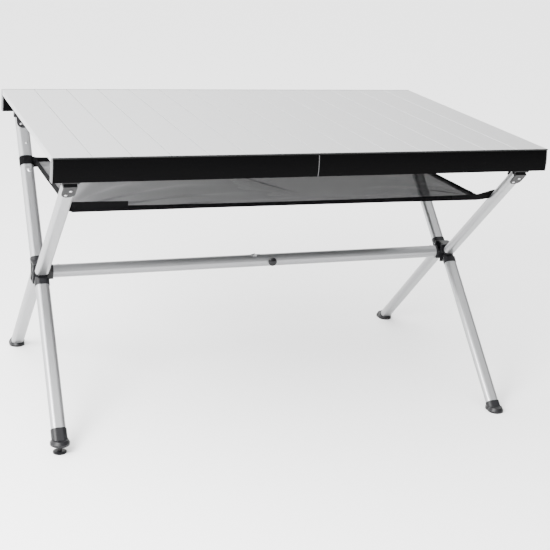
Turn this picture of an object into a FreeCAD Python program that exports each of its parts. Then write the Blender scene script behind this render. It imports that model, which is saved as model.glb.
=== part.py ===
"""Folding camp kitchen table with a roll-up slatted top.

Millimetres, +Z up, +X along the width, -Y the front. The origin is on the floor, under the
middle of the top. Lengths live in the sheet; every piece is an object of the document.
"""
import FreeCAD, Part
import math
import os

doc = FreeCAD.newDocument("camp_table")
sheet = doc.addObject("Spreadsheet::Sheet", "Sheet")

DIMENSIONS = {
    # the top and its rails
    "top_width": 1200, "top_depth": 800, "table_height": 700,
    "slat_count": 14, "slat_thick": 13, "slat_gap": 0.4, "slat_wall": 1,
    "slat_body_end": 384, "slat_tab_end": 399.3, "slat_tab_thick": 2.5,
    "rail_drop": 55, "rail_deep": 24, "rail_lip_below": 2.5, "rail_bulge": 120,
    "lip_thick": 4.5, "rail_inner_wall": 2, "rail_web": 3, "end_plug": 2,
    "seam_gap": 0.15, "rail_pin_radius": 3, "rail_pivot_height": 668, "rail_hinge_height": 695,
    "barrel_radius": 2.4, "barrel_pin": 1.2,
    # the two folding end frames
    "frame_side": 553.5, "tube_width": 34, "tube_thick": 22, "tube_wall": 1.6,
    "hub_height": 320, "pivot_side": 31.5, "pivot_rise": 11.5,
    "top_pivot_side": 360, "top_pivot_height": 640, "foot_side": 352,
    "lug_cheek_in": 8.3, "lug_half_width": 15.2, "lug_half_thick": 9.3, "leg_pin_radius": 3,
    "running_gap": 0.05, "cheek_middle": 17.9, "cheek_thick": 2.8, "bar_pivot_drop": 11.5,
    # the crossbar
    "bar_radius": 16, "bar_wall": 1.5, "bar_start": 30.5, "bar_hinge_height": 335.5,
    "ring_length": 14, "knob_side": 43, "knob_radius": 11,
    # the feet
    "foot_wide": 40, "foot_long": 54, "foot_flange": 5, "foot_flare": 7, "foot_socket": 23,
    "foot_tube_gap": 14, "level_lift": 20, "level_wide": 45, "level_socket": 36,
    "level_tube_gap": 20, "screw_radius": 5, "screw_gap": 0.3, "pad_radius": 15.5, "pad_thick": 4.5,
    # the net shelf
    "net_width": 1068, "net_front": 258, "net_back": 244, "net_height": 540, "net_thick": 1,
}
for row, (alias, value) in enumerate(DIMENSIONS.items(), start=1):
    sheet.set("A%d" % row, alias)
    sheet.set("B%d" % row, str(value))
    sheet.setAlias("B%d" % row, alias)
doc.recompute()

PIECES = []
AXIS_TURN = {
    "X": (FreeCAD.Vector(0, 1, 0), 90),
    "Y": (FreeCAD.Vector(1, 0, 0), -90),
    "Z": (FreeCAD.Vector(0, 0, 1), 0),
}
SIDES = (("left", -1), ("right", 1))
ENDS = (("front", -1), ("rear", 1))
UP = FreeCAD.Vector(0, 0, 1)
ACROSS = FreeCAD.Vector(1, 0, 0)


def dim(alias):
    """Value of one cell of the sheet."""
    return float(sheet.get(alias))


def expr(text):
    """Expression in which each alias points at its cell."""
    words = str(text).replace("(", " ( ").replace(")", " ) ").split()
    return " ".join("Sheet." + word if word in DIMENSIONS else word for word in words)


def bind(obj, name, text):
    """Bind one property of an object to the sheet."""
    obj.setExpression(name, expr(text))


def block(size, centre):
    """Box of the given size about a centre, both as expressions."""
    obj = doc.addObject("Part::Box", "block")
    for name, text in zip(("Length", "Width", "Height"), size):
        bind(obj, name, text)
    for name, place, text in zip("xyz", centre, size):
        bind(obj, ".Placement.Base." + name, "( %s ) - ( %s ) / 2" % (place, text))
    return obj


def rod(radius, length, centre, axis="Z"):
    """Cylinder about a centre, along X, Y or Z."""
    obj = doc.addObject("Part::Cylinder", "rod")
    bind(obj, "Radius", radius)
    bind(obj, "Height", length)
    obj.Placement = FreeCAD.Placement(FreeCAD.Vector(), FreeCAD.Rotation(*AXIS_TURN[axis]))
    for name, place in zip("xyz", centre):
        back = " - ( %s ) / 2" % length if name == axis.lower() else ""
        bind(obj, ".Placement.Base." + name, "( %s )%s" % (place, back))
    return obj


def cone(low_radius, high_radius, height, base):
    """Upright cone standing on a point."""
    obj = doc.addObject("Part::Cone", "cone")
    bind(obj, "Radius1", low_radius)
    bind(obj, "Radius2", high_radius)
    bind(obj, "Height", height)
    for name, place in zip("xyz", base):
        bind(obj, ".Placement.Base." + name, place)
    return obj


def fuse(*shapes):
    """Union of several objects."""
    obj = doc.addObject("Part::MultiFuse", "fuse")
    obj.Shapes = list(shapes)
    obj.Refine = True
    return obj


def cut(base, *tools):
    """Base without the tools."""
    obj = doc.addObject("Part::Cut", "cut")
    obj.Base = base
    obj.Tool = tools[0] if len(tools) == 1 else fuse(*tools)
    obj.Refine = True
    return obj


def common(first, second):
    """What two objects share."""
    obj = doc.addObject("Part::Common", "common")
    obj.Base = first
    obj.Tool = second
    return obj


def group(*shapes):
    """Several separate solids in one object."""
    obj = doc.addObject("Part::Compound", "group")
    obj.Links = list(shapes)
    return obj


def piece(name, obj, at=(0, 0, 0), turn=0, axis=UP):
    """Name an object as a sub-part and put it in place."""
    obj.Label = name
    obj.Placement = FreeCAD.Placement(FreeCAD.Vector(*at), FreeCAD.Rotation(axis, turn))
    PIECES.append(obj)
    return obj


def oval(width, thick, length, start="0"):
    """Flat-oval bar along Z from a start height; its wide way is X."""
    middle = "( %s ) + ( %s ) / 2" % (start, length)
    reach = "( %s - %s ) / 2" % (width, thick)
    round_radius = "( %s ) / 2" % thick
    return fuse(
        block(("( %s ) - ( %s )" % (width, thick), thick, length), ("0", "0", middle)),
        rod(round_radius, length, (reach, "0", middle)),
        rod(round_radius, length, ("0 - " + reach, "0", middle)),
    )


# ---------------------------------------------------------------- slats of the top
def make_slats():
    """Hollow slats side by side, each its own piece, with thin end caps that lap the rails."""
    width = "top_width / slat_count - slat_gap"
    chamber = "( %s - 3 * slat_wall ) / 2" % width
    half_step = "( %s + slat_wall ) / 2" % chamber
    tab_long = "slat_tab_end - slat_body_end"
    for number in range(int(dim("slat_count"))):
        outer = block((width, "2 * slat_body_end", "slat_thick"), ("0", "0", "0 - slat_thick / 2"))
        hollows = [
            block((chamber, "2 * slat_body_end + 2", "slat_thick - 2 * slat_wall"),
                  (side + " * " + half_step, "0", "0 - slat_thick / 2"))
            for side in ("-1", "1")
        ]
        tabs = [
            block((width, tab_long, "slat_tab_thick"),
                  ("0", "%s * ( slat_tab_end - ( %s ) / 2 )" % (end, tab_long), "0 - slat_tab_thick / 2"))
            for end in ("-1", "1")
        ]
        pitch = dim("top_width") / dim("slat_count")
        middle = -dim("top_width") / 2 + pitch * (number + 0.5)
        slat = group(cut(outer, *hollows), *tabs)
        piece("slat_%02d" % (number + 1), slat, (middle, 0, dim("table_height")))


# ---------------------------------------------------------------- rails under the slat ends
def fascia(length, start):
    """Front cover of a rail: bulged outward, and standing above the slats' ledge as a lip."""
    high = "( rail_drop - rail_lip_below )"
    middle = "( %s ) + ( %s ) / 2" % (start, length)
    plate = block((length, "lip_thick", high), (middle, "lip_thick / 2", high + " / 2"))
    bulge = rod("rail_bulge", length, (middle, "rail_bulge", high + " / 2"), "X")
    return common(plate, bulge)


def ledge_bar(length, start):
    """Solid bar behind the fascia; its top is the ledge that carries the slats."""
    wide = "( rail_deep - lip_thick )"
    high = "( rail_drop - slat_thick )"
    middle = "( %s ) + ( %s ) / 2" % (start, length)
    return block((length, wide, high), (middle, "lip_thick + %s / 2" % wide, high + " / 2"))


def hinge_part(radius, low, high):
    """Barrel, pin or bore on the hinge line, in the channel between the lip and the slats."""
    height = "rail_hinge_height - table_height + rail_drop"
    return rod(radius, "%s - %s" % (high, low), ("0", "( %s + %s ) / 2" % (low, high), height), "Y")


def lip_relief():
    """Slanted tool that trims the lip above the hinge line, so two halves can fold to a V."""
    tool = block(("50", "lip_thick + 2", "10"), ("20", "lip_thick / 2", "5"))
    lean = doc.addObject("Part::Compound", "lean")
    lean.Links = [tool]
    height = dim("rail_hinge_height") - dim("table_height") + dim("rail_drop")
    tilt = FreeCAD.Rotation(FreeCAD.Vector(0, 1, 0), -9.5)
    lean.Placement = FreeCAD.Placement(FreeCAD.Vector(0, 0, height), tilt)
    return lean


def make_rails():
    """Four rail halves. Local X runs from the mid seam to the outer end, local Y inward."""
    seam_to_plug = "top_width / 2 - end_plug - seam_gap"
    for end, end_sign in ENDS:
        for side, side_sign in SIDES:
            channel_high = "( rail_drop - slat_thick - rail_web )"
            channel_wide = "( rail_deep - lip_thick - rail_inner_wall )"
            channel = block(("top_width", channel_wide, channel_high),
                            ("top_width / 2", "lip_thick + %s / 2" % channel_wide, channel_high + " / 2"))
            pin_hole = rod("rail_pin_radius + running_gap", "rail_deep",
                           ("frame_side", "lip_thick + 1 + rail_deep / 2",
                            "rail_pivot_height - table_height + rail_drop"), "Y")
            bar = cut(ledge_bar(seam_to_plug, "seam_gap"), channel, pin_hole)
            cover = cut(fascia(seam_to_plug, "seam_gap"), lip_relief())
            # the barrels of the left and right halves sit one behind the other on a single pin
            carries_pin = side_sign * end_sign > 0
            low, high = ("5", "8.9") if carries_pin else ("9.1", "13")
            leaf_high = "rail_hinge_height - table_height + slat_thick"
            leaf_at = ("7.3", "( %s + %s ) / 2" % (low, high),
                       "rail_drop - slat_thick + ( %s ) / 2" % leaf_high)
            leaf = block(("14", "%s - %s" % (high, low), leaf_high), leaf_at)
            leaf = fuse(leaf, hinge_part("barrel_radius", low, high))
            if carries_pin:
                leaf = fuse(leaf, hinge_part("barrel_pin", "5", "13"))
            else:
                leaf = cut(leaf, hinge_part("barrel_pin + running_gap", "8", "14"))
            plug_start = "top_width / 2 - end_plug"
            solids = [bar, cover, leaf, ledge_bar("end_plug", plug_start), fascia("end_plug", plug_start)]
            # a half turn swaps the front rail's left half for the rear rail's right half
            if end_sign * side_sign > 0:
                solids = [mirrored(solid) for solid in solids]
            half = group(*solids)
            turn = 0 if end_sign < 0 else 180
            place = (0, end_sign * dim("top_depth") / 2, dim("table_height") - dim("rail_drop"))
            piece("%s_rail_%s" % (end, side), half, place, turn)


def mirrored(obj):
    """Mirror image of an object across its local YZ plane."""
    image = doc.addObject("Part::Mirroring", "mirror")
    image.Source = obj
    image.Normal = ACROSS
    image.Base = FreeCAD.Vector()
    return image


# ---------------------------------------------------------------- rail brackets at the leg tops
def make_rail_knuckles():
    """Plastic block behind each rail: a pin into the rail, and ears for the leg's barrel."""
    drop = "top_pivot_height - rail_pivot_height"
    back = "( top_depth / 2 - top_pivot_side - rail_deep )"
    for end, end_sign in ENDS:
        for side, side_sign in SIDES:
            boss = rod("10", "9.6", ("0", "0 - %s + 0.4 + 4.8" % back, "0"), "Y")
            pad = block(("38", "9.6", "18"), ("0", "0 - %s + 0.4 + 4.8" % back, "0 - 8"))
            pin_long = "( rail_deep - lip_thick - 1 )"
            pin_at = ("0", "0 - %s - %s / 2 + 1.4" % (back, pin_long), "0")
            pin = rod("rail_pin_radius", pin_long + " + 2", pin_at, "Y")
            ears = []
            for ear_side in ("-1", "1"):
                at = ear_side + " * 17.25"
                ears.append(rod("8", "3.5", (at, "0", drop), "X"))
                ears.append(block(("3.5", "16", "11"), (at, "0", "%s + 5.5" % drop)))
                ears.append(block(("3.5", "16", "8"), (at, "0 - 5", "%s + 13" % drop)))
            hinge_pin = rod("leg_pin_radius", "38", ("0", "0", drop), "X")
            knuckle = fuse(boss, pad, pin, hinge_pin, *ears)
            place = (side_sign * dim("frame_side"), end_sign * dim("top_pivot_side"),
                     dim("rail_pivot_height"))
            piece("%s_rail_knuckle_%s" % (end, side), knuckle, place, 0 if end_sign < 0 else 180)


# ---------------------------------------------------------------- folding legs
def leg_line(is_upper):
    """Length of a leg from its hub pivot, and its lean from the vertical in degrees."""
    pivot_height = dim("hub_height") + dim("pivot_rise") * (1 if is_upper else -1)
    far_side = dim("top_pivot_side") if is_upper else dim("foot_side")
    far_height = dim("top_pivot_height") if is_upper else 0
    out = far_side - dim("pivot_side")
    along = abs(far_height - pivot_height)
    return math.hypot(out, along), math.degrees(math.atan2(out, along))


def leg_place(side_sign, end_sign, is_upper):
    """Placement that stands a leg, built up its own Z from the pivot, in the frame."""
    lean = leg_line(is_upper)[1]
    turn = lean if is_upper else 180 - lean
    height = dim("hub_height") + dim("pivot_rise") * (1 if is_upper else -1)
    at = (side_sign * dim("frame_side"), end_sign * dim("pivot_side"), height)
    return at, -end_sign * turn


def make_tube(name, place, length, top_gap):
    """Flat-oval tube from just past the hub pivot to a gap short of the leg's far end."""
    span = "%.6f - 1 - %s" % (length, top_gap)
    outer = oval("tube_width", "tube_thick", span, "1")
    inner = oval("( tube_width - 2 * tube_wall )", "( tube_thick - 2 * tube_wall )", span + " + 2", "0")
    at, turn = place
    piece(name, cut(outer, inner), at, turn, ACROSS)


def make_lug(name, place, with_collar):
    """Plastic plug in a leg's hub end, forked over the hub's tongue."""
    width = "2 * lug_half_width"
    thick = "2 * lug_half_thick"
    reach = "40"
    body = oval(width, thick, reach, "0")
    # the round nose: a bar across the pivot, trimmed to the plug's own outline
    nose = common(rod("lug_half_thick", width, ("0", "0", "0"), "X"), oval(width, thick, "40", "0 - 20"))
    slot = block(("2 * lug_cheek_in", "40", "22"), ("0", "0", "0 - 1"))
    hole = rod("leg_pin_radius + running_gap", "60", ("0", "0", "0"), "X")
    lug = cut(fuse(body, nose), slot, hole)
    if with_collar:
        # a ring round the tube's end, joined to the plug by a thin floor either side of the slot
        ring = cut(oval("( tube_width + 2.4 )", "( tube_thick + 2 )", "15", "0.1"),
                   oval("tube_width", "tube_thick", "20", "0 - 1"))
        floor = cut(oval("( tube_width + 2.4 )", "( tube_thick + 2 )", "0.8", "0.1"), slot)
        lug = fuse(lug, cut(fuse(ring, floor), hole))
    at, turn = place
    piece(name, lug, at, turn, ACROSS)


def make_top_bracket(name, place, length):
    """Steel clip on the top of a leg: two riveted plates and the barrel of the rail hinge."""
    top = "%.6f" % length
    barrel = rod("7", "30.4", ("0", "0", top), "X")
    neck = block(("30.4", "tube_thick + 4", "9"), ("0", "0", top + " - 10"))
    plates = []
    for face in ("-1", "1"):
        at = "%s * ( tube_thick / 2 + 1 )" % face
        plates.append(block(("30.4", "2", "24"), ("0", at, top + " - 24")))
        plates.append(rod("15.2", "2", ("0", at, top + " - 36"), "Y"))
    tongue = block(("24", "14", "20"), ("0", "0", top + " - 22"))
    hole = rod("leg_pin_radius + running_gap", "60", ("0", "0", top), "X")
    at, turn = place
    piece(name, cut(fuse(barrel, neck, tongue, *plates), hole), at, turn, ACROSS)


def make_foot(name, place, length, lift, world_place):
    """Plastic foot cap: a socket round the tube's end on a flared base that lies flat."""
    at, turn = place
    along_leg = FreeCAD.Placement(FreeCAD.Vector(*at), FreeCAD.Rotation(ACROSS, turn))
    reach, gap = ("level_socket", "level_tube_gap") if lift else ("foot_socket", "foot_tube_gap")
    socket = oval("( tube_width + 3 )", "( tube_thick + 3 )", reach + " + 14", "%.6f - %s" % (length, reach))
    hollow = oval("tube_width", "tube_thick", "60", "%.6f - 60 - %s" % (length, gap))
    for part in (socket, hollow):
        part.Placement = along_leg
    wide = "level_wide" if lift else "foot_wide"
    spread = "( ( foot_long - foot_wide ) / 2 )"
    steps = []
    for side in ("0",) if lift else ("-1", "1"):
        beside = "%s * %s" % (side, spread)
        steps.append(rod(wide + " / 2", "foot_flange", ("0", beside, "foot_flange / 2")))
        steps.append(cone(wide + " / 2", wide + " / 2 - 4", "foot_flare", ("0", beside, "foot_flange")))
    if not lift:
        steps.append(block((wide, "2 * " + spread, "foot_flange"), ("0", "0", "foot_flange / 2")))
    base = fuse(*steps)
    base.Placement = FreeCAD.Placement(FreeCAD.Vector(*world_place, lift), FreeCAD.Rotation())
    across, along = (str(value) for value in world_place)
    above = block(("200", "200", "200"), (across, along, "%s + 100" % lift))
    solid = cut(fuse(common(socket, above), base), hollow)
    if lift:
        solid = cut(solid, rod("screw_radius + running_gap", "16", (across, along, "%s + 7" % lift)))
    piece(name, solid)


def make_legs():
    """Four upper and four lower legs, their lugs, top brackets and feet."""
    for end, end_sign in ENDS:
        for side, side_sign in SIDES:
            upper = leg_place(side_sign, end_sign, True)
            length = leg_line(True)[0]
            tag = "%s_%s" % (end, side)
            make_tube("upper_leg_" + tag, upper, length, "15")
            make_lug("upper_lug_" + tag, upper, end == "rear")
            make_top_bracket("top_bracket_" + tag, upper, length)
            lower = leg_place(side_sign, end_sign, False)
            length, lean = leg_line(False)
            lift = dim("level_lift") if (end, side) == ("front", "left") else 0
            shorter = lift / math.cos(math.radians(lean))
            foot_out = dim("foot_side") - lift * math.tan(math.radians(lean)) - 3
            make_tube("lower_leg_" + tag, lower, length - shorter,
                      "level_tube_gap" if lift else "foot_tube_gap")
            make_lug("lower_lug_" + tag, lower, end == "front")
            make_foot("foot_" + tag, lower, length - shorter, lift,
                      (side_sign * dim("frame_side"), end_sign * foot_out))
            if lift:
                make_level_screw(side_sign * dim("frame_side"), end_sign * foot_out)


def make_level_screw(across, along):
    """Levelling screw under one foot, and the round pad that turns with it."""
    screw = rod("screw_radius", "level_lift + 5", (across, along, "2 + ( level_lift + 5 ) / 2"))
    piece("level_screw", screw)
    pad = fuse(rod("pad_radius", "pad_thick - 1.5", (across, along, "( pad_thick - 1.5 ) / 2")),
               cone("pad_radius", "pad_radius - 4", "1.5", (str(across), str(along), "pad_thick - 1.5")))
    socket = rod("screw_radius + screw_gap", "10", (across, along, "2 + 5"))
    piece("level_pad", cut(pad, socket))


# ---------------------------------------------------------------- hubs
def hub_disc(radius, length, along, height):
    """Disc across a hub at one leg pivot."""
    return rod(radius, length, ("0", along, height), "X")


def make_hubs():
    """Black castings that join four half-legs and the crossbar; the outer face is ribbed."""
    full = "2 * cheek_middle + cheek_thick"
    for side, side_sign in SIDES:
        cheeks = [block(("37", "cheek_thick", "48"), ("1.5", face + " * cheek_middle", "0"))
                  for face in ("-1", "1")]
        web = block(("5", full, "48"), ("0 - 14.5", "0", "0"))
        roof = block(("27", full, "4"), ("0 - 3.5", "0", "22"))
        ribs = []
        for tilt in (-42, 42):
            rib = group(block(("2.5", "3", "60"), ("0", "0", "0")))
            rib.Placement = FreeCAD.Placement(FreeCAD.Vector(-18.2, 0, 0), FreeCAD.Rotation(ACROSS, tilt))
            ribs.append(common(rib, block(("10", full, "48"), ("0 - 18.2", "0", "0"))))
        rims = [block(("2.5", "cheek_thick", "48"), ("0 - 18.2", face + " * cheek_middle", "0"))
                for face in ("-1", "1")]
        rims += [block(("2.5", full, "3"), ("0 - 18.2", "0", "%s * 22.5" % face)) for face in ("-1", "1")]
        tongues = []
        holes = []
        for face in ("-1", "1"):
            at = face + " * pivot_side"
            for level in ("-1", "1"):
                height = level + " * pivot_rise"
                tongues.append(hub_disc("9", "16", at, height))
                holes.append(hub_disc("leg_pin_radius", "40", at, height))
            root = "( pivot_side - cheek_middle )"
            root_at = ("0", "%s * ( pivot_side - %s / 2 )" % (face, root), "0")
            tongues.append(block(("16", root, "2 * pivot_rise"), root_at))
        bar_hole = rod("4 + running_gap", full, ("0", "0", "0 - bar_pivot_drop"), "Y")
        hub = cut(fuse(web, roof, *(cheeks + ribs + rims + tongues)), bar_hole, *holes)
        turn = 0 if side_sign < 0 else 180
        place = (side_sign * dim("frame_side"), 0, dim("hub_height"))
        piece("hub_" + side, hub, place, turn)
        pins = [hub_disc("leg_pin_radius", "29.2", face + " * pivot_side", level + " * pivot_rise")
                for face in ("-1", "1") for level in ("-1", "1")]
        piece("hub_pins_" + side, group(*pins), place, turn)


# ---------------------------------------------------------------- crossbar
def make_crossbar():
    """Two tubes that fold on a pin at their top edge, with an open ring between them."""
    for side, side_sign in SIDES:
        inner_end = "ring_length + 0.2" if side_sign < 0 else "0.2"
        length = "frame_side - bar_start - ( %s )" % inner_end
        middle = "( %s ) + ( %s ) / 2" % (inner_end, length)
        # local X runs from the middle of the table outward
        tube = cut(rod("bar_radius", length, (middle, "0", "0"), "X"),
                   rod("bar_radius - bar_wall", length + " + 2", (middle, "0", "0"), "X"))
        if side_sign > 0:
            tube = cut(tube, rod("4 + running_gap", "20", ("knob_side", "0 - bar_radius", "0"), "Y"))
        arm_sides = ("0",) if side_sign < 0 else ("-3.95", "3.95")
        arm_wide = "5" if side_sign < 0 else "2.5"
        rise = "bar_hinge_height - hub_height"
        plug = rod("bar_radius - bar_wall", "22", (inner_end + " + 11 + 1", "0", "0"), "X")
        if side_sign > 0:
            plug = cut(plug, block(("30", "40", "24"), ("4", "0", "0 - 6")))
        arms = []
        for offset in arm_sides:
            arms.append(rod("2.2", arm_wide, ("0", offset, rise), "Y"))
            arm_at = ("( %s + 8 ) / 2" % inner_end, offset, "11")
            arms.append(block((inner_end + " + 8", arm_wide, "6"), arm_at))
        hinge_hole = rod("1.25", "40", ("0", "0", rise), "Y")
        # open the top of the end for the other half's arms and the ring's ears
        end_slot = fuse(block(("26", "11", "8"), ("0", "0", "bar_radius - 2")),
                        block(("5.6", "16.6", "8"), ("0", "0", "bar_radius - 2")))
        core = cut(fuse(cut(plug, end_slot), *arms), hinge_hole)
        bar = fuse(cut(tube, end_slot), core)
        place = (0, 0, dim("hub_height"))
        half = bar if side_sign > 0 else mirrored(bar)
        piece("crossbar_" + side, half, place)
        make_bar_end(side, side_sign, place)
    ring = cut(rod("bar_radius", "ring_length", ("0 - ring_length / 2", "0", "0"), "X"),
               rod("bar_radius - 2.5", "20", ("0 - ring_length / 2", "0", "0"), "X"),
               block(("40", "10.8", "12"), ("0", "0", "bar_radius")))
    ears = []
    for face in ("-1", "1"):
        at = face + " * 6.7"
        ears.append(rod("2.2", "2.4", ("0", at, "bar_hinge_height - hub_height"), "Y"))
        ears.append(block(("8", "2.4", "3.6"), ("0 - 4", at, "bar_hinge_height - hub_height - 1.6")))
    pin = rod("1.2", "15.8", ("0", "0", "bar_hinge_height - hub_height"), "Y")
    piece("crossbar_hinge", fuse(ring, pin, *ears), (0, 0, dim("hub_height")))
    make_knob()


def make_bar_end(side, side_sign, place):
    """Plastic eye in the outer end of the crossbar, on a pin through the hub."""
    eye_at = ("frame_side", "0", "0 - bar_pivot_drop")
    eye = rod("9.5", "31", eye_at, "Y")
    arm = block(("bar_start", "31", "19"), ("frame_side - bar_start / 2", "0", "9.5 - bar_pivot_drop - 4"))
    collar = rod("bar_radius + 0.8", "5", ("frame_side - bar_start + 2.5", "0", "0"), "X")
    plug = rod("bar_radius - bar_wall", "34", ("frame_side - bar_start - 17", "0", "0"), "X")
    pin = rod("4", "37", eye_at, "Y")
    end = fuse(eye, arm, collar, plug, pin)
    piece("crossbar_end_" + side, end if side_sign > 0 else mirrored(end), place)


def make_knob():
    """Push button that releases the crossbar's middle."""
    face = "0 - bar_radius - 2.8"
    stem = rod("4", "13", ("knob_side", face + " + 6.5", "0"), "Y")
    skirt = rod("knob_radius", "2.2", ("knob_side", face + " - 1.1", "0"), "Y")
    ball = doc.addObject("Part::Sphere", "ball")
    bind(ball, "Radius", "19")
    bind(ball, ".Placement.Base.x", "knob_side")
    bind(ball, ".Placement.Base.y", face + " - 5.6 + 19")
    front = block(("40", "20", "40"), ("knob_side", face + " - 2.1 - 10", "0"))
    piece("lock_knob", fuse(stem, skirt, common(ball, front)), (0, 0, dim("hub_height")))


# ---------------------------------------------------------------- net shelf
def make_net():
    """Plain stand-in for the net that hangs between the four upper legs."""
    deep = "net_front + net_back"
    net = block(("net_width", deep, "net_thick"), ("0", "( net_back - net_front ) / 2", "net_height"))
    piece("net_shelf", group(net))


make_slats()
make_rails()
make_rail_knuckles()
make_legs()
make_hubs()
make_crossbar()
make_net()
doc.recompute()

for obj in doc.Objects:
    if "Invalid" in obj.State or "Error" in obj.State:
        raise RuntimeError("object %s (%s) failed: %s" % (obj.Name, obj.Label, obj.State))
for obj in PIECES:
    if obj.Shape.isNull() or not obj.Shape.isValid() or not obj.Shape.Solids:
        raise RuntimeError("sub-part %s has no valid solid" % obj.Label)

os.makedirs("parts", exist_ok=True)
for obj in PIECES:
    obj.Shape.exportStep("parts/%s.step" % obj.Label)
    print("%-24s %2d solid(s) %10.0f mm3" % (obj.Label, len(obj.Shape.Solids), obj.Shape.Volume))
print(len(PIECES), "sub-parts")
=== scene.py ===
"""Looks of the folding camp table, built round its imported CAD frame. Metres, +Z up, front at -Y."""
import math

import bpy
from mathutils import Matrix, Vector, noise


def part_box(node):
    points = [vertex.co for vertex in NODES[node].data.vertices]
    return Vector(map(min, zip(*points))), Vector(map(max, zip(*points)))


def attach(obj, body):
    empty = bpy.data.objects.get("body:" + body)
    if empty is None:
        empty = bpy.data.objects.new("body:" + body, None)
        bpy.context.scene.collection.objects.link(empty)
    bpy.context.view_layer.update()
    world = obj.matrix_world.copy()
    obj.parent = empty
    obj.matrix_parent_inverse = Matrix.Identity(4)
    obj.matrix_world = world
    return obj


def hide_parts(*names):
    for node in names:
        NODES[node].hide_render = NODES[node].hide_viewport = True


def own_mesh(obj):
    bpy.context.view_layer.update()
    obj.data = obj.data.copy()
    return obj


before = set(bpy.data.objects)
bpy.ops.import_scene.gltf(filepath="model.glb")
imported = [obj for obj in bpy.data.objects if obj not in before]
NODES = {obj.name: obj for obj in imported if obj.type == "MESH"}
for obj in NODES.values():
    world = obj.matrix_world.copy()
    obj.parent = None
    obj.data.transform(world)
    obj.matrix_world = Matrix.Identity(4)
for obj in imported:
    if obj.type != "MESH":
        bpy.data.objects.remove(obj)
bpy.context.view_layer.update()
MM = 0.001
SIDES = (("left", -1), ("right", 1))
ENDS = (("front", -1), ("rear", 1))

# the upper legs: how far out each stands, its top hinge, and its lean from the vertical
LEG_X = 0.5535
LEG_TOP_Y = 0.360
LEG_TOP_Z = 0.640
LEG_LEAN = math.atan2(328.5, 308.5)
RECTANGLE = ((-1, -1), (1, -1), (1, 1), (-1, 1))


# ------------------------------------------------------------------ material tools
def new_material(name, colour, roughness, metallic=0.0, specular=0.5):
    """Principled material with plain values on its own sockets."""
    made = bpy.data.materials.new(name)
    made.use_nodes = True
    shader = made.node_tree.nodes["Principled BSDF"]
    shader.inputs["Base Color"].default_value = (*colour, 1)
    shader.inputs["Roughness"].default_value = roughness
    shader.inputs["Metallic"].default_value = metallic
    shader.inputs["Specular IOR Level"].default_value = specular
    return made


def add(made, kind, **values):
    """New node with its properties and input values set."""
    node = made.node_tree.nodes.new(kind)
    for key, value in values.items():
        if key in node.inputs:
            node.inputs[key].default_value = value
        else:
            setattr(node, key, value)
    return node


def link(made, source, target):
    """Join an output socket to an input socket."""
    made.node_tree.links.new(source, target)


def coordinates(made, scale=(1, 1, 1)):
    """Object coordinates in metres, scaled per axis."""
    where = add(made, "ShaderNodeTexCoord")
    mapping = add(made, "ShaderNodeMapping")
    mapping.inputs["Scale"].default_value = scale
    link(made, where.outputs["Object"], mapping.inputs["Vector"])
    return mapping.outputs["Vector"]


def ramp(made, factor, stops):
    """Colour ramp over a factor; stops are (position, colour)."""
    node = add(made, "ShaderNodeValToRGB")
    while len(node.color_ramp.elements) < len(stops):
        node.color_ramp.elements.new(0.5)
    for element, (position, colour) in zip(node.color_ramp.elements, stops):
        element.position = position
        element.color = (*colour, 1)
    link(made, factor, node.inputs["Fac"])
    return node.outputs["Color"]


def vary(made, colour, spread, scale, bump=0.0, bump_distance=0.0005, stretch=(1, 1, 1)):
    """Noise in the colour, the roughness and the bump of a material."""
    shader = made.node_tree.nodes["Principled BSDF"]
    grain = add(made, "ShaderNodeTexNoise", Scale=scale, Detail=6.0, Roughness=0.6)
    link(made, coordinates(made, stretch), grain.inputs["Vector"])
    low = tuple(max(0.0, part * (1 - spread)) for part in colour)
    high = tuple(min(1.0, part * (1 + spread)) for part in colour)
    colours = ramp(made, grain.outputs["Fac"], [(0.3, low), (0.7, high)])
    link(made, colours, shader.inputs["Base Color"])
    base_rough = shader.inputs["Roughness"].default_value
    rough = add(made, "ShaderNodeMapRange")
    rough.inputs["To Min"].default_value = max(0.02, base_rough - 0.06)
    rough.inputs["To Max"].default_value = base_rough + 0.06
    link(made, grain.outputs["Fac"], rough.inputs["Value"])
    link(made, rough.outputs["Result"], shader.inputs["Roughness"])
    if bump:
        height = add(made, "ShaderNodeBump", Strength=bump, Distance=bump_distance)
        link(made, grain.outputs["Fac"], height.inputs["Height"])
        link(made, height.outputs["Normal"], shader.inputs["Normal"])
    return made


def brushed_metal(name, colour, roughness, metallic, stretch):
    """Anodised aluminium with fine drawn lines along one axis."""
    made = new_material(name, colour, roughness, metallic)
    return vary(made, colour, 0.05, 900.0, 0.12, 0.0002, stretch)


def moulded(name, colour, roughness, scale=1400.0, bump=0.25):
    """Moulded or coated surface with a fine grain."""
    made = new_material(name, colour, roughness, 0.0, 0.25)
    return vary(made, colour, 0.15, scale, bump, 0.0002)


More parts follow.
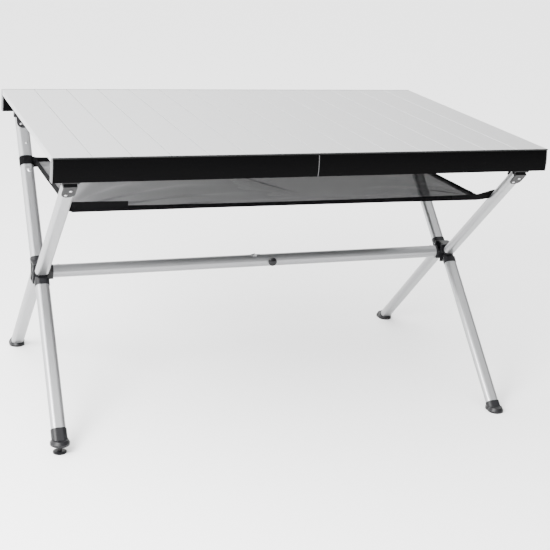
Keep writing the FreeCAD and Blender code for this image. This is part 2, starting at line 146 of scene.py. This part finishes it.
def rail_finish():
    """Black painted rail with a grey seam at the middle and a grey plug at the outer end."""
    made = new_material("rail_black", (0.0012, 0.0012, 0.0013), 0.42, 0.0, 0.02)
    shader = made.node_tree.nodes["Principled BSDF"]
    vary(made, (0.0012, 0.0012, 0.0013), 0.25, 700.0, 0.08, 0.0002)
    paint = shader.inputs["Base Color"].links[0].from_socket
    parts = add(made, "ShaderNodeSeparateXYZ")
    link(made, coordinates(made), parts.inputs["Vector"])
    across = add(made, "ShaderNodeMath", operation="ABSOLUTE")
    link(made, parts.outputs["X"], across.inputs[0])
    for name, limit, operation, colour in (
        ("plug", 0.5982, "GREATER_THAN", (0.13, 0.13, 0.133, 1)),
        ("seam", 0.0008, "LESS_THAN", (0.09, 0.09, 0.092, 1)),
    ):
        here = add(made, "ShaderNodeMath", operation=operation)
        here.inputs[1].default_value = limit
        link(made, across.outputs[0], here.inputs[0])
        mix = add(made, "ShaderNodeMix", data_type="RGBA", label=name)
        link(made, here.outputs[0], mix.inputs["Factor"])
        link(made, paint, mix.inputs[6])
        mix.inputs[7].default_value = colour
        paint = mix.outputs[2]
    link(made, paint, shader.inputs["Base Color"])
    return made


THREAD_PITCH = 1.8 * MM


def net_finish():
    """Open mesh of dark threads: woven alpha, and painted shade that darkens its grey from left to
    right, as if lit from the left.
    """
    made = new_material("net_grey", (0.2, 0.2, 0.21), 0.85, 0.0, 0.08)
    shader = made.node_tree.nodes["Principled BSDF"]
    parts = add(made, "ShaderNodeSeparateXYZ")
    link(made, coordinates(made), parts.inputs["Vector"])
    # painted shade: the net's dark grey is painted lighter at the left and darker at the right, where
    # less light falls
    painted_shade_across = add(made, "ShaderNodeMapRange")
    painted_shade_across.inputs["From Min"].default_value = -0.5
    painted_shade_across.inputs["From Max"].default_value = 0.5
    link(made, parts.outputs["X"], painted_shade_across.inputs["Value"])
    stops = [(0.0, (0.12, 0.12, 0.123)), (0.45, (0.045, 0.045, 0.047)),
             (1.0, (0.010, 0.010, 0.011))]
    link(made, ramp(made, painted_shade_across.outputs["Result"], stops), shader.inputs["Base Color"])
    waves = []
    for axis in ("X", "Y"):
        turn = add(made, "ShaderNodeMath", operation="MULTIPLY")
        turn.inputs[1].default_value = 2 * math.pi / THREAD_PITCH
        link(made, parts.outputs[axis], turn.inputs[0])
        wave = add(made, "ShaderNodeMath", operation="SINE")
        link(made, turn.outputs[0], wave.inputs[0])
        waves.append(wave)
    threads = add(made, "ShaderNodeMath", operation="MAXIMUM")
    link(made, waves[0].outputs[0], threads.inputs[0])
    link(made, waves[1].outputs[0], threads.inputs[1])
    solid = add(made, "ShaderNodeMapRange")
    solid.inputs["From Min"].default_value = -0.35
    solid.inputs["From Max"].default_value = 0.25
    solid.inputs["To Min"].default_value = 0.84
    solid.inputs["To Max"].default_value = 1.0
    link(made, threads.outputs[0], solid.inputs["Value"])
    link(made, solid.outputs["Result"], shader.inputs["Alpha"])
    return made


def webbing_finish():
    """Black woven webbing."""
    made = new_material("webbing_black", (0.003, 0.003, 0.003), 0.85, 0.0, 0.04)
    shader = made.node_tree.nodes["Principled BSDF"]
    weave = add(made, "ShaderNodeTexWave", Scale=260.0, Distortion=1.2, Detail=2.0)
    link(made, coordinates(made), weave.inputs["Vector"])
    stops = [(0.2, (0.0015, 0.0015, 0.0017)), (0.8, (0.005, 0.005, 0.0055))]
    link(made, ramp(made, weave.outputs["Fac"], stops), shader.inputs["Base Color"])
    height = add(made, "ShaderNodeBump", Strength=0.5, Distance=0.0005)
    link(made, weave.outputs["Fac"], height.inputs["Height"])
    link(made, height.outputs["Normal"], shader.inputs["Normal"])
    return made


SILVER = brushed_metal("slat_silver", (0.66, 0.663, 0.668), 0.32, 0.85, (1, 0.02, 1))
LEG = brushed_metal("leg_grey", (0.34, 0.342, 0.348), 0.36, 0.88, (1, 0.05, 0.05))
BAR = brushed_metal("bar_grey", (0.25, 0.252, 0.258), 0.34, 0.75, (0.02, 1, 1))
RAIL = rail_finish()
PLASTIC = moulded("black_plastic", (0.005, 0.005, 0.006), 0.42)
DARK_STEEL = moulded("dark_steel", (0.006, 0.006, 0.0065), 0.5, 500.0, 0.1)
STEEL = brushed_metal("pin_steel", (0.42, 0.42, 0.43), 0.28, 0.9, (1, 1, 1))
KNOB = moulded("knob_black", (0.004, 0.004, 0.005), 0.1, 300.0, 0.02)
EDGE = moulded("rail_edge", (0.0025, 0.0025, 0.0027), 0.3, 700.0, 0.05)
NET = net_finish()
WEBBING = webbing_finish()


# ------------------------------------------------------------------ mesh tools
def mesh_piece(name, points, faces, made, smooth=False):
    """Object from points and faces, with its mesh validated."""
    mesh = bpy.data.meshes.new(name)
    mesh.from_pydata([tuple(point) for point in points], [], faces)
    mesh.validate()
    mesh.update()
    obj = bpy.data.objects.new(name, mesh)
    bpy.context.scene.collection.objects.link(obj)
    mesh.materials.append(made)
    for polygon in mesh.polygons:
        polygon.use_smooth = smooth
    return obj


def loft(name, rings, made, smooth=True, closed=True):
    """Skin over rings of points, with flat ends when closed."""
    count = len(rings[0])
    points = [point for ring in rings for point in ring]
    faces = []
    for step in range(len(rings) - 1):
        low, high = step * count, (step + 1) * count
        for here in range(count):
            after = (here + 1) % count
            faces.append((low + here, low + after, high + after, high + here))
    if closed:
        faces.append(tuple(reversed(range(count))))
        faces.append(tuple(range((len(rings) - 1) * count, len(rings) * count)))
    return mesh_piece(name, points, faces, made, smooth)


def dome(name, centre, normal, radius, height, made):
    """Rivet or bolt head: a low dome with a flat rim, standing on a surface."""
    normal = Vector(normal).normalized()
    first = normal.orthogonal().normalized()
    second = normal.cross(first)
    rings = []
    for part, rise in ((1.0, 0.0), (1.0, 0.35), (0.86, 0.68), (0.6, 0.9), (0.25, 1.0)):
        ring = []
        for step in range(16):
            angle = 2 * math.pi * step / 16
            side = first * math.cos(angle) + second * math.sin(angle)
            ring.append(Vector(centre) + side * radius * part + normal * height * rise)
        rings.append(ring)
    return loft(name, rings, made, smooth=True)


def stadium(width, thick, count):
    """Flat-oval outline, counter-clockwise, its wide way along the first axis."""
    reach = (width - thick) / 2
    radius = thick / 2
    outline = []
    for centre, start in ((reach, -90), (-reach, 90)):
        for step in range(count + 1):
            angle = math.radians(start + 180 * step / count)
            outline.append((centre + radius * math.cos(angle), radius * math.sin(angle)))
    return outline


def place(piece, body, slot, *replaced):
    """Ride and replace in one call."""
    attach(piece, body)
    if replaced:
        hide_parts(*replaced)
    return piece


# ------------------------------------------------------------------ CAD nodes that stay
def dress(node, made):
    """Give a CAD node a material."""
    obj = NODES[node]
    if not obj.material_slots:
        obj.data.materials.append(made)
    for slot in obj.material_slots:
        slot.material = made


def dress_frame():
    """Materials for every CAD node that is shown as it is."""
    for end, _ in ENDS:
        for side, _ in SIDES:
            tag = "%s_%s" % (end, side)
            dress("%s_rail_%s" % (end, side), RAIL)
            dress("%s_rail_knuckle_%s" % (end, side), PLASTIC)
            dress("upper_leg_" + tag, LEG)
            dress("lower_leg_" + tag, LEG)
            dress("upper_lug_" + tag, PLASTIC)
            dress("lower_lug_" + tag, PLASTIC)
            dress("top_bracket_" + tag, DARK_STEEL)
            dress("foot_" + tag, PLASTIC)
    for side, _ in SIDES:
        dress("hub_" + side, PLASTIC)
        dress("hub_pins_" + side, STEEL)
        dress("crossbar_" + side, BAR)
        dress("crossbar_end_" + side, PLASTIC)
    dress("crossbar_hinge", BAR)
    dress("lock_knob", KNOB)
    dress("level_screw", DARK_STEEL)
    dress("level_pad", PLASTIC)


# ------------------------------------------------------------------ slats
BODY_END = 0.384


def make_slats():
    """Each slat: a body with bevelled long edges, and a skin that ends in a tab over each rail."""
    for number in range(1, 15):
        node = "slat_%02d" % number
        low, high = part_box(node)
        top = high[2]
        edge = 1.1 * MM
        profile = [(low[0], low[2] + edge), (low[0] + edge, low[2]), (low[0] + 0.027, low[2]),
                   (low[0] + 0.0278, low[2] + 1.0 * MM), (low[0] + 0.0288, low[2] + 1.0 * MM),
                   (low[0] + 0.0296, low[2]), (high[0] - 0.0296, low[2]),
                   (high[0] - 0.0288, low[2] + 1.0 * MM), (high[0] - 0.0278, low[2] + 1.0 * MM),
                   (high[0] - 0.027, low[2]), (high[0] - edge, low[2]), (high[0], low[2] + edge),
                   (high[0], top - 2.6 * MM), (low[0], top - 2.6 * MM)]
        rings = [[(x, y, z) for x, z in profile] for y in (-BODY_END, BODY_END)]
        body = loft(node + "_body", rings, SILVER, smooth=False)
        place(body, node, "slat_silver", node)
        inset = 0.5 * MM
        bevel = 0.45 * MM
        left, right = low[0] + inset, high[0] - inset
        skin = [(left, top - 2.5 * MM), (right, top - 2.5 * MM), (right, top - bevel),
                (right - bevel, top), (left + bevel, top), (left, top - bevel)]
        rings = [[(x, y, z) for x, z in skin] for y in (low[1], high[1])]
        place(loft(node + "_skin", rings, SILVER, smooth=False), node, "slat_silver", node)


# ------------------------------------------------------------------ the net shelf
NET_LEFT = -0.530
NET_RIGHT = 0.497
NET_FRONT = -0.256
NET_DEPTH = 0.497


def net_point(u, v):
    """Point of the net: u runs left to right and v front to rear, both from 0 to 1."""
    x = NET_LEFT + (NET_RIGHT - NET_LEFT) * u
    y = NET_FRONT + NET_DEPTH * v
    belly = (math.sin(math.pi * u) ** 0.7) * (math.sin(math.pi * v) ** 0.8)
    front = 0.5475 - 0.004 * math.sin(math.pi * u) - 0.004 * u
    z = front + (0.538 - front) * v - 0.018 * belly
    # folds run out from the two front corners, over a soft unevenness, and fade at the border
    rim = min(1.0, 0.1 + 14 * min(u, 1 - u, v, 1 - v))
    corner = math.exp(-((u / 0.42) ** 2 + (v / 0.6) ** 2))
    folds = 0.009 * corner * math.sin(math.atan2(v * 0.5, u + 0.02) * 23)
    far = math.exp(-(((1 - u) / 0.25) ** 2 + (v / 0.5) ** 2))
    folds += 0.005 * far * math.sin(math.atan2(v * 0.5, 1.02 - u) * 13)
    folds += 0.006 * noise.noise(Vector((x * 3.0, y * 14, 0.7)))
    folds += 0.003 * noise.noise(Vector((x * 9.0, y * 9.0, 2.7)))
    z += folds * rim
    # one sharp crease that runs back to front across the middle
    run = (v - 0.30) / 0.42
    if 0 < run < 1:
        off = x - (0.075 - 0.13 * run)
        z += 0.010 * math.sin(math.pi * run) * math.exp(-(off / 0.008) ** 2)
    y += 0.010 * math.sin(math.pi * u) * (1 - v) * (1 - v)
    return Vector((x, y, z))


def strap(name, path, ups, width, thick):
    """Flat webbing along a path; ups give the direction of its width at each point."""
    rings = []
    for number, point in enumerate(path):
        before = path[max(0, number - 1)]
        after = path[min(len(path) - 1, number + 1)]
        along = (Vector(after) - Vector(before)).normalized()
        up = Vector(ups[number])
        up = (up - along * up.dot(along)).normalized()
        out = along.cross(up)
        ring = []
        for side_a, side_b in RECTANGLE:
            ring.append(Vector(point) + up * side_a * width / 2 + out * side_b * thick / 2)
        rings.append(ring)
    return loft(name, rings, WEBBING, smooth=False)


def make_net():
    """The net sheet and its webbing border."""
    columns, rows = 150, 70
    points = [net_point(i / columns, j / rows) for j in range(rows + 1) for i in range(columns + 1)]
    faces = []
    for j in range(rows):
        for i in range(columns):
            low = j * (columns + 1) + i
            faces.append((low, low + 1, low + columns + 2, low + columns + 1))
    net = mesh_piece("net", points, faces, NET, smooth=True)
    steps = 40
    borders = []
    for name, side in (("net_border_front", 0), ("net_border_rear", 1)):
        path = [net_point(i / steps, side) for i in range(steps + 1)]
        ups = []
        for i in range(steps + 1):
            lean = math.sin(math.pi * i / steps) ** 0.4
            ups.append((0, (1 if side == 0 else -1) * (0.2 + 0.8 * lean), 1 - 0.62 * lean))
        borders.append(strap(name, path, ups, 0.014, 0.0014))
    for name, side in (("net_border_left", 0), ("net_border_right", 1)):
        path = [net_point(side, i / steps) for i in range(steps + 1)]
        borders.append(strap(name, path, [(0.3, 0, 1)] * (steps + 1), 0.012, 0.0014))
    return net, borders


def upper_leg_point(side_sign, end_sign, height, forward=0.0, across=0.0):
    """Point on an upper leg at a height, moved off its axis outward (forward) and along X."""
    along_y = LEG_TOP_Y - (LEG_TOP_Z - height) * math.tan(LEG_LEAN)
    outward = Vector((0, end_sign * math.cos(LEG_LEAN), -math.sin(LEG_LEAN)))
    axis = Vector((side_sign * LEG_X + across, end_sign * along_y, height))
    return axis + outward * forward


def leg_loop(name, end_sign, side_sign, height, width):
    """Webbing loop round an upper leg."""
    slope = Vector((0, end_sign * math.sin(LEG_LEAN), math.cos(LEG_LEAN)))
    across = Vector((1, 0, 0))
    normal = slope.cross(across)
    centre = upper_leg_point(side_sign, end_sign, height)
    path = [centre + across * a + normal * b for a, b in stadium(0.0352, 0.0232, 10)]
    count = len(path)
    rings = []
    for number in range(count):
        before, here, after = path[number - 1], path[number], path[(number + 1) % count]
        along = (after - before).normalized()
        out = along.cross(slope).normalized()
        ring = []
        for side_a, side_b in RECTANGLE:
            ring.append(here + slope * side_a * width / 2 + out * (side_b * 0.0005))
        rings.append(ring)
    rings.append(rings[0])
    return loft(name, rings, WEBBING, smooth=False, closed=False)


def smooth_path(corners, steps=8):
    """Points of a soft curve through the given corners."""
    found = []
    for number in range(len(corners) - 1):
        ends = [Vector(corners[max(0, number - 1)]), Vector(corners[number]),
                Vector(corners[number + 1]), Vector(corners[min(len(corners) - 1, number + 2)])]
        for step in range(steps):
            t = step / steps
            found.append(0.5 * ((2 * ends[1]) + (ends[2] - ends[0]) * t
                                + (2 * ends[0] - 5 * ends[1] + 4 * ends[2] - ends[3]) * t * t
                                + (3 * ends[1] - ends[0] - 3 * ends[2] + ends[3]) * t ** 3))
    found.append(Vector(corners[-1]))
    return found


def tapered_strap(name, corners, widths):
    """Flat webbing on edge along a soft curve, its width changing from end to end."""
    path = smooth_path(corners)
    last = len(path) - 1
    rings = []
    for number, point in enumerate(path):
        along = (path[min(last, number + 1)] - path[max(0, number - 1)]).normalized()
        up = Vector((0, 0, 1))
        up = (up - along * up.dot(along)).normalized()
        out = along.cross(up)
        where = number / last * (len(widths) - 1)
        low = min(int(where), len(widths) - 2)
        width = widths[low] + (widths[low + 1] - widths[low]) * (where - low)
        rings.append([point + up * (a * width / 2) + out * (b * 0.0007)
                      for a, b in RECTANGLE])
    return loft(name, rings, WEBBING, smooth=False)


# webbing widths from the leg to the net
FRONT_LEFT_WIDTHS = (0.022, 0.022, 0.022, 0.021, 0.020)
REAR_LEFT_WIDTHS = (0.028, 0.028, 0.026, 0.022, 0.018)
RIGHT_WIDTHS = (0.021, 0.021, 0.015, 0.013, 0.012)


def make_straps():
    """Webbing from each corner of the net to its leg: behind the front legs, to the rear loops."""
    made = []
    for end, end_sign in ENDS:
        for side, side_sign in SIDES:
            front = end == "front"
            left = side == "left"
            height = (0.549 if left else 0.5385) if front else 0.536
            u, v = (0.0 if left else 1.0), (0.0 if front else 1.0)
            corner = net_point(u, v)
            inboard = net_point(0.125 if left else 0.93, v)
            middle = net_point(0.06 if left else 0.97, v)
            shift = Vector((0, end_sign * 0.0016, 0.001))
            if left:
                shift.z += 0.0055 if front else -0.002
            if front:
                at_leg = upper_leg_point(side_sign, end_sign, height, -0.0122, -side_sign * 0.006)
                behind = upper_leg_point(side_sign, end_sign, height, -0.0130, side_sign * 0.010)
            else:
                behind = upper_leg_point(side_sign, end_sign, height, 0.0, -side_sign * 0.012)
                at_leg = upper_leg_point(side_sign, end_sign, height, 0.0, -side_sign * 0.019)
            corners = [behind, at_leg, corner + shift, middle + shift, inboard + shift]
            wide = (FRONT_LEFT_WIDTHS if front else REAR_LEFT_WIDTHS) if left else RIGHT_WIDTHS
            made.append(tapered_strap("net_strap_%s_%s" % (end, side), corners, wide))
    return made


def make_rivets():
    """Rivet and bolt heads on the brackets, the rear legs and the crossbar's ends."""
    for end, end_sign in ENDS:
        for side, side_sign in SIDES:
            body = "upper_%s_%s" % (end, side)
            outward = Vector((0, end_sign * math.cos(LEG_LEAN), -math.sin(LEG_LEAN)))
            inward = -outward
            for number, (back, across) in enumerate(((0.0235, 0.003), (0.0405, -0.005))):
                for face, normal in (("out", outward), ("in", inward)):
                    height = LEG_TOP_Z - back * math.cos(LEG_LEAN)
                    at = upper_leg_point(side_sign, end_sign, height, 0, across) + normal * 0.0130
                    name = "rivet_%s_%s_%s_%d" % (end, side, face, number)
                    place(dome(name, at, normal, 0.0036, 0.0018, STEEL), body, "pin_steel")
            for label, height, radius in (("small", 0.572, 0.0030), ("bolt", 0.5145, 0.0068)):
                if end == "rear":
                    at = upper_leg_point(side_sign, end_sign, height, 0, 0.004) - outward * 0.011
                    name = "leg_%s_%s" % (label, side)
                    place(dome(name, at, inward, radius, radius * 0.5, STEEL), body, "pin_steel")
    for side, side_sign in SIDES:
        at = (side_sign * 0.5105, 0, 0.336)
        head = dome("bar_rivet_" + side, at, (0, 0, 1), 0.0034, 0.0016, STEEL)
        place(head, "bar_" + side, "pin_steel")


def make_rail_edges():
    """Thin black lip on each rail's cover that hides the ends of the slats' tabs."""
    table_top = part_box("slat_07")[1][2]
    for end, end_sign in ENDS:
        for side, side_sign in SIDES:
            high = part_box("%s_rail_%s" % (end, side))[1]
            inner, outer = end_sign * 0.39935, end_sign * 0.4003
            bottom, shoulder, top = high[2] - 0.4 * MM, table_top + 0.2 * MM, table_top + 0.5 * MM
            profile = [(inner, bottom), (outer, bottom), (outer, shoulder),
                       (outer - end_sign * 0.3 * MM, top), (inner, top)]
            rings = [[(x, y, z) for y, z in profile]
                     for x in (side_sign * 0.35 * MM, side_sign * 0.5998)]
            place(loft("rail_edge_%s_%s" % (end, side), rings, EDGE, smooth=False),
                  "rail_%s_%s" % (end, side), "rail_black")


dress_frame()
make_slats()
make_rail_edges()
make_rivets()
net, borders = make_net()
straps = make_straps()
loops = [(leg_loop("net_loop_" + side, 1, side_sign, 0.5365, 0.026), side)
         for side, side_sign in SIDES]
bpy.context.view_layer.update()
place(net, "hub_left", "net_grey", "net_shelf")
for piece in borders:
    place(piece, "hub_left", "net_grey", "net_shelf")
for piece, side in loops:
    place(piece, "upper_rear_" + side, "net_grey")
for piece in straps:
    place(piece, "hub_left", "net_grey", "net_shelf")
# the net gathers along X only, so in the folded frame it is still as deep as at rest
for piece in [net] + borders + straps:
    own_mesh(piece)


# ------------------------------------------------------------------ stage, lights and camera
SKY_STRENGTH = 5.4
# the sky's grey against how far a direction turns from its brightest point, 0 away to 1 towards
SKY_BRIGHTEST = (-0.78, 0.22, 0.585)
SKY_TONES = ((0.0, 0.05), (0.42, 0.16), (0.7, 0.62), (1.0, 1.0))
LAMPS = (
    ("key", (-2.1, -1.5, 1.8), (-0.4, 0, 0.4), 1.3, 230),
    ("spark", (-1.9, -3.6, 2.4), (0, 0, 0.35), 0.35, 35),
)


def make_stage():
    """Pale floor under a soft sky that is brightest high on the left, with two lamps."""
    mesh = bpy.data.meshes.new("floor")
    mesh.from_pydata([(-30, -30, 0), (30, -30, 0), (30, 30, 0), (-30, 30, 0)], [], [(0, 1, 2, 3)])
    floor = bpy.data.objects.new("floor", mesh)
    bpy.context.scene.collection.objects.link(floor)
    mesh.materials.append(new_material("floor_pale", (0.95, 0.95, 0.95), 0.9))
    world = bpy.data.worlds.new("studio")
    bpy.context.scene.world = world
    world.use_nodes = True
    sky = world.node_tree.nodes["Background"]
    sky.inputs["Strength"].default_value = SKY_STRENGTH
    tree = world.node_tree
    where = tree.nodes.new("ShaderNodeTexCoord")
    towards = tree.nodes.new("ShaderNodeVectorMath")
    towards.operation = "DOT_PRODUCT"
    towards.inputs[1].default_value = SKY_BRIGHTEST
    span = tree.nodes.new("ShaderNodeMapRange")
    tones = tree.nodes.new("ShaderNodeValToRGB")
    span.inputs["From Min"].default_value = -1.0
    while len(tones.color_ramp.elements) < len(SKY_TONES):
        tones.color_ramp.elements.new(0.5)
    for element, (position, grey) in zip(tones.color_ramp.elements, SKY_TONES):
        element.position = position
        element.color = (grey, grey, grey, 1)
    tree.links.new(where.outputs["Generated"], towards.inputs[0])
    tree.links.new(towards.outputs["Value"], span.inputs["Value"])
    tree.links.new(span.outputs["Result"], tones.inputs["Fac"])
    tree.links.new(tones.outputs["Color"], sky.inputs["Color"])
    for name, position, aim, size, power in LAMPS:
        light = bpy.data.lights.new(name, "AREA")
        light.size = size
        light.energy = power
        lamp = bpy.data.objects.new(name, light)
        bpy.context.scene.collection.objects.link(lamp)
        lamp.location = position
        lamp.rotation_euler = (Vector(aim) - Vector(position)).to_track_quat("-Z", "Y").to_euler()


def make_camera():
    """Camera at the front left, above the top, with a small shift for the framing."""
    pitch, yaw, roll = math.radians(11.32), math.radians(22.71), math.radians(4.095)
    forward = Vector((math.sin(yaw) * math.cos(pitch), math.cos(yaw) * math.cos(pitch),
                      -math.sin(pitch)))
    level = Vector((math.cos(yaw), -math.sin(yaw), 0))
    upward = level.cross(forward)
    right = level * math.cos(roll) + upward * math.sin(roll)
    up = upward * math.cos(roll) - level * math.sin(roll)
    data = bpy.data.cameras.new("camera")
    data.sensor_width = 36
    data.lens = 82.16
    data.shift_x = -0.1078
    data.shift_y = -0.2662
    camera = bpy.data.objects.new("camera", data)
    bpy.context.scene.collection.objects.link(camera)
    camera.matrix_world = Matrix(
        ((right.x, up.x, -forward.x, -1.0457), (right.y, up.y, -forward.y, -2.9719),
         (right.z, up.z, -forward.z, 1.3151), (0, 0, 0, 1)))
    bpy.context.scene.camera = camera


make_stage()
make_camera()
